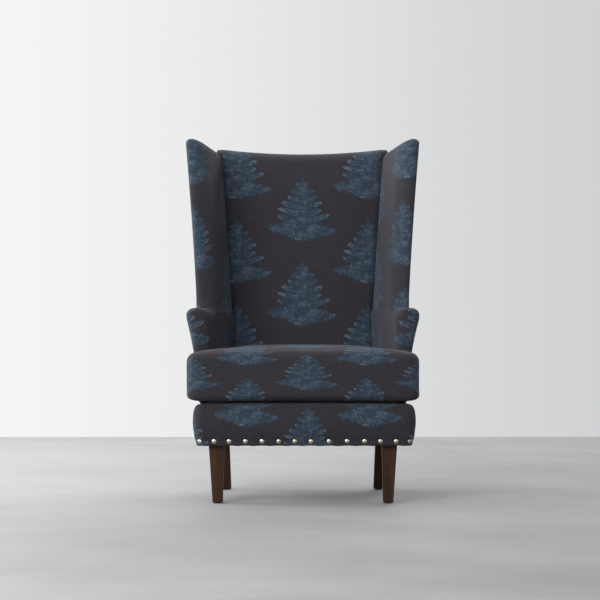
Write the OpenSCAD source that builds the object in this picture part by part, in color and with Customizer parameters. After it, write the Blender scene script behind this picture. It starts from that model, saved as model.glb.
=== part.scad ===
// High-back wing armchair: a hardwood frame, sprung seat and webbed back, padded and covered
// in fabric, with nailed borders, four bolted legs and a loose T-shaped seat cushion.
// The sitter faces -Y. Left and right are as seen from the front: left is -X.

/* [Overall] */
// Height of the wing tips above the floor
chair_h = 1180; // [1160:1:1200]
// Half width over the arms, at the front of the arm roll
arm_half = 375; // [370:1:380]
// Height of the arm roll
arm_top = 620; // [610:1:630]
// Depth from the front of the cushion to the top of the outside back
chair_d = 800; // [796:1:804]

/* [Seat base] */
// Height of the legs
leg_h = 185; // [180:1:190]
// Half width of the base at the front
base_half = 352; // [345:1:356]
// How far the base stands behind the front of the cushion
base_back = 20; // [15:1:25]
// How much the sides of the base close in for each millimetre towards the rear
base_taper = 0.106; // [0.09:0.002:0.12]
// Radius of the front corners
corner_r = 30; // [24:1:34]
// Top of the padded border round the base
border_top = 318; // [314:1:320]
// Thickness of the padding on the rails
rail_pad = 16; // [16:1:18]
// How far the nails pull the foot of the border in
nail_pull = 11; // [8:1:12]
// Height of the foot of the border that the nails hold down
nail_strip = 28; // [26:1:32]
// Thickness of the seat rails
rail_t = 26; // [22:1:30]

/* [Back and wings] */
// Lean of the outside back, in degrees
outer_lean = 10.55; // [10.3:0.05:10.8]
// Lean of the inside back, in degrees
inner_lean = 12; // [11.5:0.5:12.5]
// Angle at which arms and wings close in towards the rear, in degrees
plan_angle = 9; // [8.5:0.5:9]
// Top of the inside back
back_top = 1148; // [1140:1:1150]
// Size of the back posts across the chair
post_w = 45; // [35:1:50]
// Thickness of the back frame
back_frame_t = 34; // [30:1:36]

/* [Cushion] */
// Half width of the cushion over its ears
cushion_half = 367; // [360:1:368]
// Thickness of the cushion
cushion_t = 165; // [150:1:168]
// Length of the cushion's zip
zip_len = 420; // [380:5:440]

/* [Fasteners] */
// Diameter of a dome nail's head
nail_d = 16.5; // [14:0.5:18]
// Distance from one dome nail to the next
nail_pitch = 52.5; // [50:0.5:54]
// Diameter of the leg bolts
bolt_d = 8; // [6:1:10]

/* [Hidden] */
$fn = 48;

front_y = -chair_d / 2;
base_y = front_y + base_back;
base_rear_y = 214;
skin = 2;
gap = 0.3;
eps = 0.01;
big = 2000;

rail_z = 188;
rail_top = 296;
arm_y = -260;
arm_in = 301.5;
arm_z = 325;
arm_shell_z = 590;
wing_y = -145;
wing_z = arm_top + 0.5;
wing_ref_z = 612;
wing_in = 290;
wing_out = 346;
back_foot_y = 218;
back_seat_y = 145;
back_seat_z = 500;
frame_in = 3;
post_out = 216;
post_spread = 0.05;
post_ref_z = 620;
post_top = 1070;
deck_z = 303;
back_half = 280;
cushion_z = 326.5;
cushion_rear_y = 98;
front_leg_xy = [275, -321];
rear_leg_xy = [262, 190];
glide_t = 3;
nail_z = 199;

wood = "burlywood";
walnut = [0.20, 0.12, 0.08];
cloth = [0.20, 0.19, 0.22];
foam = "khaki";
steel = "silver";

// Where the outside back, the inside back, the arms and the wings lie
function back_out_y(z) = back_foot_y + (z - leg_h) * tan(outer_lean);
function back_in_y(z) = back_seat_y + (z - back_seat_z) * tan(inner_lean);
function base_x(y) = base_half - (y - base_y) * base_taper;
function arm_in_x(y) = arm_in - (y - arm_y) * tan(plan_angle);
function arm_out_x(y) = arm_half - (y - arm_y) * 0.14;
function wing_in_x(y, z) = wing_in - (y - wing_y) * tan(plan_angle) + (z - wing_ref_z) * 0.107;
function wing_out_x(y, z) = wing_out - (y - wing_y) * 0.12 + (z - wing_ref_z) * 0.0958;
function mix(a, b, k) = a + (b - a) * k;

module mirrored(side) {
    if (side < 0)
        mirror([1, 0, 0]) children();
    else
        children();
}

module hull_of(points) {
    hull()
        for (p = points)
            translate(p) cube(eps, center = true);
}

// A solid with the same side profile (y, z) all along X, from x0 to x1
module across(x0, x1) {
    translate([x0, 0, 0])
        rotate([90, 0, 90])
            linear_extrude(x1 - x0) children();
}

// ---- Outline of the base in plan, moved in by i: round corners in the padding, square in the
// wood ----
module base_outline(i) {
    tilt = atan(base_taper);
    cy = base_y + corner_r;
    cx = base_x(cy) - corner_r / cos(tilt);
    r = corner_r - i;
    side = [cx + r * cos(tilt), cy + r * sin(tilt)];
    front_x = base_x(base_y + i) - i / cos(tilt);
    rear_x = base_x(base_rear_y) - i / cos(tilt);
    if (i < skin + rail_pad) {
        polygon([
            [-cx, base_y + i], [cx, base_y + i], side, [rear_x, base_rear_y],
            [-rear_x, base_rear_y], [-side[0], side[1]]
        ]);
        for (s = [-1, 1])
            translate([s * cx, cy]) circle(r);
    }
    else
        polygon([
            [-front_x, base_y + i], [front_x, base_y + i], [rear_x, base_rear_y],
            [-rear_x, base_rear_y]
        ]);
}

module base_band(i0, i1, z0, z1) {
    translate([0, 0, z0])
        linear_extrude(z1 - z0)
            difference() {
                base_outline(i0);
                base_outline(i1);
            }
}

// The cover of the border: full over the padding, and pulled in below it
module border_skin(z1) {
    z0 = leg_h + nail_strip;
    base_band(nail_pull, nail_pull + skin, leg_h, z0 + skin);
    base_band(0, nail_pull + skin, z0, z0 + skin);
    base_band(0, skin, z0, z1);
}

module border_pad() {
    z0 = leg_h + nail_strip + skin;
    base_band(nail_pull + skin, skin + rail_pad, rail_z, z0);
    base_band(skin, skin + rail_pad, z0, rail_top - 1);
}

// Zones that share the band round the base between its panels
module front_zone(y1) {
    translate([-big / 2, base_y - 100, 0]) cube([big, y1 - base_y + 100, 400]);
}

module rear_zone() {
    across(-big / 2, big / 2)
        polygon([
            [back_out_y(0) - back_frame_t - frame_in, 0], [big, 0],
            [big, 400], [back_out_y(400) - back_frame_t - frame_in, 400]
        ]);
}

module side_zone(side) {
    translate([side > 0 ? 0 : -big / 2, -big / 2, 0]) cube([big / 2, big, 400]);
}

// ---- Seat rails ----
side_rail_y = base_y + skin + rail_pad + rail_t;

module front_seat_rail() {
    color(wood)
        intersection() {
            base_band(skin + rail_pad, skin + rail_pad + rail_t, rail_z, rail_top);
            front_zone(side_rail_y);
            linear_extrude(big) base_outline(nail_pull + skin + 0.5);
        }
}

module side_seat_rail(side) {
    color(wood)
        intersection() {
            difference() {
                base_band(skin + rail_pad, skin + rail_pad + rail_t, rail_z, rail_top);
                front_zone(side_rail_y);
                rear_zone();
            }
            side_zone(side);
        }
}

// A board that lies in the leaning back frame, between two heights
module leaning_board(x0, x1, z0, z1, t) {
    across(x0, x1)
        polygon([
            [back_out_y(z0) - frame_in - t, z0], [back_out_y(z0) - frame_in, z0],
            [back_out_y(z1) - frame_in, z1], [back_out_y(z1) - frame_in - t, z1]
        ]);
}

module rear_seat_rail() {
    half = base_x(base_rear_y) - skin - rail_pad;
    color(wood) leaning_board(-half, half, rail_z, rail_top, back_frame_t);
}

// ---- Corner blocks, with the holes for the leg bolts, and their screws ----
block_leg = 105;
block_h = 46;

module bolt_holes(d) {
    for (s = [-1, 1], p = [front_leg_xy, rear_leg_xy - [9, 0]])
        translate([s * p[0], p[1], rail_z - 40]) cylinder(h = 120, d = d);
}

module corner_blocks() {
    front_in = base_y + skin + rail_pad + rail_t;
    rear_in = back_out_y(rail_z) - back_frame_t - frame_in;
    color(wood)
        for (s = [0, 1])
            mirror([s, 0, 0])
                difference() {
                    translate([0, 0, rail_z])
                        linear_extrude(block_h)
                            intersection() {
                                base_outline(skin + rail_pad + rail_t);
                                for (y = [[front_in, 1], [rear_in, -1]])
                                    let (x = base_x(y[0]) - skin - rail_pad - rail_t)
                                        polygon([
                                            [x + 20, y[0]], [x - block_leg, y[0]],
                                            [x + 20, y[0] + y[1] * (block_leg + 20)]
                                        ]);
                            }
                    translate([front_leg_xy[0], front_leg_xy[1], rail_z - 1])
                        cylinder(h = block_h + 2, d = bolt_d + 0.5);
                }
}

// One screw goes through each block into each of the two rails that it joins
module block_screw(reach) {
    rotate([0, 90, 0]) cylinder(h = reach, d = 4.5);
    translate([-3, 0, 0]) rotate([0, 90, 0]) cylinder(h = 3, d = 9);
}

module frame_screws() {
    y0 = base_y + skin + rail_pad + rail_t;
    y1 = back_out_y(rail_z) - back_frame_t - frame_in;
    off = 45;
    color(steel)
        for (s = [0, 1], row = [[y0, 1, 14], [y1, -1, 30]])
            let (x = base_x(row[0]) - skin - rail_pad - rail_t, depth = block_leg - off)
                mirror([s, 0, 0]) {
                    translate([x - off, row[0] + row[1] * (depth + 0.5), rail_z + row[2]])
                        rotate([0, 0, -90 * row[1]]) block_screw(depth + 18);
                    translate([x - depth - 2, row[0] + row[1] * off, rail_z + row[2] + 8])
                        block_screw(depth + 18);
                }
}

// ---- Posts and rails of the back ----
module back_post(side) {
    color(wood)
        mirrored(side)
            difference() {
                translate([post_out - post_w, 0, post_ref_z])
                    rotate([0, atan(post_spread), 0])
                        translate([0, 0, -post_ref_z])
                            leaning_board(0, post_w, rail_top - 20, post_top + 20, back_frame_t);
                translate([0, -big / 2, 0]) cube([big, big, rail_top]);
                translate([0, -big / 2, post_top]) cube([big, big, big]);
            }
}

module top_back_rail() {
    color(wood) leaning_board(-255, 255, post_top, back_top - 20, back_frame_t);
}

module lower_back_rail() {
    color(wood)
        difference() {
            leaning_board(-165, 165, 342, 392, back_frame_t);
            back_post(1);
            back_post(-1);
            for (s = [0, 1])
                mirror([s, 0, 0]) translate([158, 0, 300]) cube([200, 400, 200]);
        }
}

// ---- Arms: a leaning post on the side rail, and a flat rail on top of it ----
arm_rail_t = 24;
arm_rail_z = arm_top - 20 - arm_rail_t;

module arm_post(side) {
    foot = [base_x(arm_y) - 38, arm_y + 8, rail_top];
    color(wood)
        mirrored(side)
            difference() {
                translate(foot)
                    rotate([0, 3, -atan(base_taper) + 12])
                        translate([0, 0, -20]) cube([25, 60, arm_rail_z - rail_top + 40]);
                translate([0, -big / 2, 0]) cube([big, big, rail_top]);
                translate([0, -big / 2, arm_rail_z]) cube([big, big, big]);
            }
}

module arm_rail(side) {
    y0 = arm_y + 8;
    y1 = back_out_y(arm_rail_z) - back_frame_t - frame_in;
    y2 = y1 + back_frame_t - 4;
    color(wood)
        mirrored(side)
            difference() {
                translate([0, 0, arm_rail_z])
                    linear_extrude(arm_rail_t)
                        polygon([
                            [arm_in_x(y0) + 14, y0], [arm_out_x(y0) - 9, y0],
                            [arm_out_x(y2) - 9, y2], [200, y2], [200, y1 + 2],
                            [arm_in_x(y1) + 14, y1 + 2]
                        ]);
                back_post(1);
            }
}

// Outer face of an arm at its foot, where it meets the base and carries on down at one slope
function arm_foot_x(y, z) =
    base_x(y) + 1 - (arm_out_x(y) - base_x(y) - 1) * (arm_z - z) / (arm_top - 22 - arm_z);

// The outer shape of an arm, moved in by e; its foot is at z0 and its rear r inside the back
module arm_solid(e, z0, r) {
    function section(yf, drop) = [
        for (p = [[0, z0, 0], [0, arm_top - 14, 0], [12, arm_top - e, 0],
                  [-20, arm_top - e, 1], [-3, arm_top - 10, 1], [0, arm_top - 22, 1], [0, z0, 2]])
            let (y = drop ? back_out_y(p[1]) - r : yf)
                [p[2] == 0 ? arm_in_x(y) + e + p[0]
                    : (p[2] == 1 ? arm_out_x(y) - e + p[0] : arm_foot_x(y, z0) - e), y, p[1]]
    ];
    hull_of(concat(section(arm_y + e, false), section(0, true)));
}

module arm_shell(side) {
    mirrored(side)
        difference() {
            arm_solid(0, arm_z, 0.5);
            arm_solid(skin, arm_z - 20, -20);
        }
}

// The outer side of an arm below the roll, where the outside panel lies
module outside_zone(z1) {
    linear_extrude(z1)
        polygon([
            [mix(arm_in_x(arm_y), arm_half, 0.5), arm_y + skin], [big, arm_y + skin], [big, 400],
            [mix(arm_in_x(300), arm_out_x(300), 0.5), 400]
        ]);
}

module arm_cover(side) {
    color(cloth)
        difference() {
            arm_shell(side);
            mirrored(side) outside_zone(arm_shell_z);
            wing_board(side);
            arm_rail(side);
            back_post(side);
        }
}

module outside_arm_cover(side) {
    color(cloth) {
        intersection() {
            arm_shell(side);
            mirrored(side) outside_zone(arm_shell_z - gap);
        }
        intersection() {
            border_skin(arm_z);
            difference() {
                side_zone(side);
                front_zone(base_y + corner_r + 12);
                across(-big / 2, big / 2)
                    polygon([
                        [back_out_y(0) - 0.5, 0], [big, 0], [big, 400], [back_out_y(400) - 0.5, 400]
                    ]);
            }
        }
    }
}

module arm_pad(side) {
    color(foam)
        difference() {
            mirrored(side) arm_solid(skin + gap, arm_z, back_frame_t + 12);
            arm_post(side);
            arm_rail(side);
            wing_board(side);
        }
}

// ---- Wings: a plywood board between the two pads, in a cover that is closed outside ----
// Outline of a wing from the side as [y, z] points, moved in by e
function wing_outline(e, z0) = [
    [wing_y + e + (z0 - wing_z) * 0.27, z0], [-2 + e, 1140], [8 + e, 1172 - e],
    [30, chair_h - e], [back_out_y(back_top) - e - 0.5, back_top - e],
    [back_out_y(z0) - e - 0.5, z0]
];

// The layer of a wing from k0 to k1 of its thickness: 0 is the inner face and 1 the outer
module wing_layer(outline, k0, k1) {
    hull_of([
        for (p = outline, k = [k0, k1])
            [mix(wing_in_x(p[0], p[1]), wing_out_x(p[0], p[1]), k), p[0], p[1]]
    ]);
}

module wing_solid(side) {
    mirrored(side) wing_layer(wing_outline(0, wing_z), 0, 1);
}

module wing_shell(side) {
    difference() {
        wing_solid(side);
        mirrored(side) wing_layer(wing_outline(skin, wing_z - 20), 0.035, 0.965);
    }
}

module wing_board(side) {
    color("tan")
        mirrored(side) wing_layer(wing_outline(16, arm_top - 19.9), 0.42, 0.7);
}

module wing_cover(side) {
    color(cloth)
        difference() {
            wing_shell(side);
            mirrored(side) wing_layer(wing_outline(4, wing_z), 0.9, 1.2);
            wing_cleats();
        }
}

module outside_wing_cover(side) {
    color(cloth)
        mirrored(side) wing_layer(wing_outline(4 + gap, wing_z + 4), 0.965, 1);
}

module wing_pad(side) {
    color(foam)
        difference() {
            mirrored(side) wing_layer(wing_outline(skin + gap, wing_z), 0.042, 0.955);
            wing_board(side);
            wing_cleats();
        }
}

// Blocks that tie the wing boards to the back posts
module wing_cleats() {
    color(wood)
        for (side = [-1, 1])
            difference() {
                for (z = [700, 980])
                    translate([side > 0 ? 195 : -325, back_out_y(z) - 33, z])
                        cube([130, 26, 50]);
                back_post(side);
                wing_board(side);
                mirrored(side) {
                    wing_layer(wing_outline(-60, wing_z), 0.5, 2.5);
                    translate([0, -big / 2, 0]) cube([205, big, big]);
                }
            }
}

// ---- Seat suspension ----
spring_wire = 3.8;
spring_x = [-216, -108, 0, 108, 216];
spring_pitch = 32;
spring_half = 24;
spring_bars = 15;

// The line of one sinuous spring: bars across it, joined by half rounds at alternate ends
function spring_line() = [
    for (i = [0 : spring_bars - 1], a = [-90 : 22.5 : 90])
        let (s = i % 2 == 0 ? 1 : -1, r = spring_pitch / 2)
            [s * (spring_half - r + r * cos(a)), i * spring_pitch + r + r * sin(a)]
];

// A flat strip of width w that follows a line
module strip_along(line, w) {
    n = len(line);
    function way(i) = line[min(i + 1, n - 1)] - line[max(i - 1, 0)];
    function side(i, s) = line[i] + s * w / 2 * [-way(i)[1], way(i)[0]] / norm(way(i));
    polygon(concat([for (i = [0 : n - 1]) side(i, 1)], [for (i = [n - 1 : -1 : 0]) side(i, -1)]));
}

spring_y0 = side_rail_y - 8;
spring_y1 = spring_y0 + spring_bars * spring_pitch;
spring_z = rail_top + 0.2;

module seat_springs() {
    color(steel)
        for (x = spring_x)
            translate([x, spring_y0, spring_z])
                linear_extrude(spring_wire) {
                    strip_along(spring_line(), spring_wire);
                    translate([-12, -spring_wire / 2]) square([24, spring_wire]);
                    translate([-12, spring_y1 - spring_y0 - spring_wire / 2])
                        square([24, spring_wire + 6]);
                }
}

// Each clip is a bent strip that holds the end of a spring down on a rail
module spring_clips() {
    t = 1.2;
    rear_y = back_out_y(rail_top) - back_frame_t - frame_in + 4;
    color("gray")
        for (x = spring_x, y = [spring_y0 - 11, rear_y])
            translate([x - 7, y, rail_top]) {
                cube([14, y < 0 ? 7 : 14, t]);
                translate([0, y < 0 ? 5.8 : 0, 0]) cube([14, t, 5]);
            }
}

module deck_plate(z0, t, inset, y1) {
    difference() {
        translate([0, 0, z0])
            linear_extrude(t)
                intersection() {
                    base_outline(inset);
                    translate([-big / 2, -big / 2]) square([big, big / 2 + y1]);
                }
        arm_post(1);
        arm_post(-1);
    }
}

module seat_hessian() {
    color("peru") deck_plate(deck_z - 1.6, 1.4, 18, 180);
}

module seat_deck_pad() {
    color(foam) deck_plate(deck_z, 18, 10, 172);
}

module seat_deck_cover() {
    color(cloth) deck_plate(deck_z + 18 + gap / 3, 1.8, 8, 174);
}

// ---- Back: webbing on the frame, foam over it, and the covers ----
module back_webbing() {
    t = 1.6;
    strap = 50;
    color("saddlebrown") {
        for (z = [430, 540, 650, 760, 870, 980])
            across(-190 - (z - 430) * 0.02, 190 + (z - 430) * 0.02)
                    polygon([for (p = [[0, 0], [t, 0], [t, strap], [0, strap]])
                    [back_out_y(z + p[1]) - frame_in - back_frame_t - 0.2 - p[0], z + p[1]]]);
        for (x = [-110, 0, 110])
            across(x - strap / 2, x + strap / 2)
                polygon([for (p = [[0, 350], [t, 350], [t, 1120], [0, 1120]])
                    [back_out_y(p[1]) - frame_in - back_frame_t - 0.2 - p[0], p[1]]]);
    }
}

// The back between the wings, moved in by e, before the arms and wings are taken from it
module back_solid(e, r) {
    across(-back_half, back_half)
        polygon([
            [back_in_y(arm_z) + e, arm_z], [back_out_y(arm_z) - r, arm_z],
            [back_out_y(back_top - e) - r, back_top - e],
            [back_in_y(back_top) + e + 14, back_top - e], [back_in_y(back_top - 18) + e, back_top - 18]
        ]);
}

module sides_of_back() {
    for (s = [-1, 1])
        mirrored(s) {
            wing_layer(wing_outline(-40, wing_z - 5), -0.006, 1.5);
            arm_solid(-gap, arm_z - 5, -40);
        }
}

module inside_back_cover() {
    color(cloth)
        difference() {
            back_solid(0, 0.5);
            back_solid(skin, -30);
            sides_of_back();
            translate([-big / 2, 0, arm_z - 1]) cube([big, big, 3]);
        }
}

module back_foam() {
    color(foam)
        difference() {
            back_solid(skin + gap, 3);
            sides_of_back();
            across(-big / 2, big / 2)
                polygon([
                    [back_out_y(300) - back_frame_t - frame_in - 2, 300], [big, 300],
                    [big, back_top - 19], [back_out_y(back_top - 19) - back_frame_t - frame_in - 2,
                    back_top - 19]
                ]);
            arm_rail(1);
            arm_rail(-1);
            wing_cleats();
        }
}

module outside_back_cover() {
    low = base_x(base_rear_y);
    z_kink = (wing_ref_z - leg_h) / cos(outer_lean);
    z_top = (back_top - leg_h) / cos(outer_lean);
    kink = wing_out_x(back_out_y(wing_ref_z), wing_ref_z);
    top = wing_out_x(back_out_y(back_top), back_top);
    color(cloth)
        translate([0, back_out_y(leg_h), leg_h])
            rotate([90 - outer_lean, 0, 0])
                translate([0, 0, -skin])
                    linear_extrude(skin)
                        polygon([
                            [-low, 0], [low, 0], [kink, z_kink], [top, z_top],
                            [-top, z_top], [-kink, z_kink]
                        ]);
}

// ---- Borders round the base ----
module front_rail_cover() {
    color(cloth)
        intersection() {
            border_skin(border_top);
            front_zone(base_y + corner_r + 11.7);
        }
}

module front_rail_pad() {
    color(foam)
        intersection() {
            border_pad();
            front_zone(base_y + corner_r + 11.7);
        }
}

module side_rail_pad(side) {
    color(foam)
        intersection() {
            border_pad();
            difference() {
                side_zone(side);
                front_zone(base_y + corner_r + 12);
                rear_zone();
            }
        }
}

module dust_cover() {
    color("dimgray")
        difference() {
            translate([0, 0, rail_z - 1.5])
                linear_extrude(1.2) base_outline(nail_pull + skin + 1);
            leg_squares(28, rail_z - 10, 20);
            translate([-big / 2, back_out_y(rail_z) - 8, 0]) cube([big, 100, 400]);
        }
}

// ---- Legs: square tapers, held by a bolt that runs up into the corner ----
module leg_squares(half, z0, h) {
    for (s = [-1, 1], p = [front_leg_xy, rear_leg_xy - [4, 0]])
        translate([s * p[0] - half, p[1] - half, z0]) cube([2 * half, 2 * half, h]);
}

module leg_shape(x_profile, y_profile) {
    intersection() {
        translate([0, 500, 0]) rotate([90, 0, 0]) linear_extrude(1000) polygon(x_profile);
        rotate([90, 0, 90]) linear_extrude(1000) polygon(y_profile);
    }
}

module front_leg(side) {
    x = front_leg_xy[0];
    y = front_leg_xy[1];
    color(walnut)
        mirrored(side)
            difference() {
                leg_shape(
                    [[x - 20.5, glide_t], [x + 12, glide_t], [x + 24, leg_h], [x - 24, leg_h]],
                    [[y - 23, glide_t], [y + 9.5, glide_t], [y + 24, leg_h], [y - 24, leg_h]]
                );
                translate([x, y, leg_h - 32]) cylinder(h = 40, d = bolt_d + 0.1);
                translate([x - 4, y - 7, 0]) cylinder(h = 14, d = 3);
            }
}

module rear_leg(side) {
    x = rear_leg_xy[0];
    y = rear_leg_xy[1];
    color(walnut)
        mirrored(side)
            difference() {
                leg_shape(
                    [[x - 20, glide_t], [x + 13, glide_t], [x + 24, leg_h], [x - 14, leg_h]],
                    [[y + 25, glide_t], [y + 59, glide_t], [y + 20, leg_h], [y - 20, leg_h]]
                );
                translate([x - 9, y, leg_h - 32]) cylinder(h = 40, d = bolt_d + 0.1);
                translate([x - 3.5, y + 42, 0]) cylinder(h = 14, d = 3);
            }
}

module leg_plates() {
    color(steel)
        difference() {
            union()
                leg_squares(18, leg_h, rail_z - leg_h);
            bolt_holes(bolt_d + 0.5);
        }
}

module leg_bolts() {
    color("gray")
        for (s = [-1, 1], p = [front_leg_xy, rear_leg_xy - [9, 0]])
            translate([s * p[0], p[1], leg_h - 28]) cylinder(h = 66, d = bolt_d);
}

module glides() {
    color("black")
        for (s = [-1, 1], p = [front_leg_xy - [4, 7], rear_leg_xy + [-3.5, 42]])
            translate([s * p[0], p[1], 0]) {
                cylinder(h = glide_t, d = 22);
                cylinder(h = 13, d = 2.8);
            }
}

// ---- Dome nails along the foot of the border, round the front corners and down the sides ----
module dome_nail() {
    rise = 5;
    r = (pow(nail_d / 2, 2) + rise * rise) / (2 * rise);
    intersection() {
        translate([0, 0, rise - r]) sphere(r);
        cylinder(h = rise, d = nail_d + 1);
    }
    translate([0, 0, -26]) cylinder(h = 27, d = 2.2);
}

// Place on the foot of the border at distance s from the middle of the front: [x, y, heading]
function on_edge(s) =
    let (
        tilt = atan(base_taper), cy = base_y + corner_r,
        cx = base_x(cy) - corner_r / cos(tilt), r = corner_r - nail_pull,
        arc = r * (90 - tilt) * PI / 180, a = (s - cx) / r * 180 / PI, d = s - cx - arc
    )
    s < cx ? [s, base_y + nail_pull, -90]
        : (s < cx + arc ? [cx + r * sin(a), cy - r * cos(a), a - 90]
            : [cx + r * cos(tilt) - d * sin(tilt), cy + r * sin(tilt) + d * cos(tilt), tilt]);

module nail_row(side, i0, i1) {
    for (i = [i0 : i1])
        let (p = on_edge((i + 0.5) * nail_pitch))
            mirrored(side)
                translate([p[0], p[1], nail_z])
                    rotate([0, 0, p[2]])
                        rotate([0, 90, 0]) dome_nail();
}

module front_nails() {
    color("gainsboro") {
        nail_row(1, 0, 6);
        nail_row(-1, 0, 6);
    }
}

module side_nails(side) {
    color("gainsboro") nail_row(side, 7, 16);
}

// ---- Loose seat cushion: a foam core in a zipped T-shaped cover ----
ear_rear_y = arm_y - 4;
ear_r = 34;

function stem_x(y) = arm_in_x(y) - 4;

module cushion_outline(i) {
    r = ear_r - i;
    polygon([
        [-cushion_half + ear_r, front_y + i], [cushion_half - ear_r, front_y + i],
        [cushion_half - i, front_y + ear_r], [cushion_half - i, ear_rear_y - i],
        [stem_x(ear_rear_y) - i, ear_rear_y - i], [stem_x(cushion_rear_y) - i, cushion_rear_y - i],
        [-stem_x(cushion_rear_y) + i, cushion_rear_y - i], [-stem_x(ear_rear_y) + i, ear_rear_y - i],
        [-cushion_half + i, ear_rear_y - i], [-cushion_half + i, front_y + ear_r]
    ]);
    for (s = [-1, 1])
        translate([s * (cushion_half - ear_r), front_y + ear_r]) circle(r);
}

zip_z = cushion_z + cushion_t / 2;
zip_w = 26;

module cushion_cover() {
    color(cloth)
        difference() {
            translate([0, 0, cushion_z]) linear_extrude(cushion_t) cushion_outline(0);
            translate([0, 0, cushion_z + skin])
                linear_extrude(cushion_t - 2 * skin) cushion_outline(skin);
            translate([-zip_len / 2, cushion_rear_y - 5, zip_z - zip_w / 2])
                cube([zip_len, 10, zip_w]);
        }
}

module cushion_core() {
    color(foam)
        translate([0, 0, cushion_z + skin])
            linear_extrude(cushion_t - 2 * skin) cushion_outline(skin);
}

// Two tapes with a row of teeth between them
module cushion_zip() {
    color("black") {
        translate([-zip_len / 2, cushion_rear_y - 1.8, zip_z - zip_w / 2])
            cube([zip_len, 1.2, zip_w]);
        translate([-zip_len / 2 + 8, cushion_rear_y - 1, zip_z - 2.5]) cube([zip_len - 16, 2, 5]);
    }
}

slider_x = -zip_len / 2 + 18;

module zip_slider() {
    y = cushion_rear_y + 1 + gap;
    color(steel) {
        translate([slider_x - 7, y, zip_z - 5]) cube([14, 2.2, 10]);
        translate([slider_x - 2, y + 2.2, zip_z - 3]) cube([4, 1.4, 6]);
        translate([slider_x - 3, y + 3.6, zip_z - 26]) cube([6, 1.2, 29]);
    }
}

front_seat_rail();
rear_seat_rail();
side_seat_rail(-1);  // left_seat_rail
side_seat_rail(1);  // right_seat_rail
corner_blocks();
frame_screws();
arm_post(-1);  // left_arm_post
arm_post(1);  // right_arm_post
arm_rail(-1);  // left_arm_rail
arm_rail(1);  // right_arm_rail
back_post(-1);  // left_back_post
back_post(1);  // right_back_post
top_back_rail();
lower_back_rail();
wing_board(-1);  // left_wing_board
wing_board(1);  // right_wing_board
wing_cleats();
seat_springs();
spring_clips();
seat_hessian();
seat_deck_pad();
seat_deck_cover();
back_webbing();
back_foam();
inside_back_cover();
outside_back_cover();
wing_pad(-1);  // left_wing_pad
wing_pad(1);  // right_wing_pad
wing_cover(-1);  // left_wing_cover
wing_cover(1);  // right_wing_cover
outside_wing_cover(-1);  // left_outside_wing_cover
outside_wing_cover(1);  // right_outside_wing_cover
arm_pad(-1);  // left_arm_pad
arm_pad(1);  // right_arm_pad
arm_cover(-1);  // left_arm_cover
arm_cover(1);  // right_arm_cover
outside_arm_cover(-1);  // left_outside_arm_cover
outside_arm_cover(1);  // right_outside_arm_cover
front_rail_pad();
front_rail_cover();
side_rail_pad(-1);  // left_rail_pad
side_rail_pad(1);  // right_rail_pad
dust_cover();
front_leg(-1);  // front_left_leg
front_leg(1);  // front_right_leg
rear_leg(-1);  // rear_left_leg
rear_leg(1);  // rear_right_leg
leg_plates();
leg_bolts();
glides();
front_nails();
side_nails(-1);  // left_nails
side_nails(1);  // right_nails
cushion_cover();
cushion_core();
cushion_zip();
zip_slider();
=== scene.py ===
import math

import bmesh
import bpy
from mathutils import Matrix, Vector, noise


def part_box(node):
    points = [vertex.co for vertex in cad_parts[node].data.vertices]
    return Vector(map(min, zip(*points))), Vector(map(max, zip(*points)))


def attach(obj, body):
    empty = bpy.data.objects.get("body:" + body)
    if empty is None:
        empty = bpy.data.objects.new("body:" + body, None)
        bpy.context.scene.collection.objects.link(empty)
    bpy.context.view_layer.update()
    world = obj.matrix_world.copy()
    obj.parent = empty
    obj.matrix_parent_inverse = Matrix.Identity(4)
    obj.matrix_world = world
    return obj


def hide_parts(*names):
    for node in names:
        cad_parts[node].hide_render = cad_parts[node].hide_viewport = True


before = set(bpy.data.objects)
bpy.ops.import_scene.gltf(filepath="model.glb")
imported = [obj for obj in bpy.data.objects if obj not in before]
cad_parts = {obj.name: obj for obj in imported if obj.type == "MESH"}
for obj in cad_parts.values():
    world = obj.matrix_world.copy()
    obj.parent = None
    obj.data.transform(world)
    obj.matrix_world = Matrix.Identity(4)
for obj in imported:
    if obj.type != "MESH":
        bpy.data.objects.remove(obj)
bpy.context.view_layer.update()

# ---- The room: pale screed floor, pale surround, soft lights, and the camera ----
# The chair stands on a plain floor that ends behind it, in a surround that goes from white on
# the left to grey on the right. The floor's colour holds painted light: it is lighter at the left
# and at the back, and darker to the right and the front. The strongest lights are large soft
# ones at the left and at the front left, so the shadows fall gently to the right.


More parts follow.
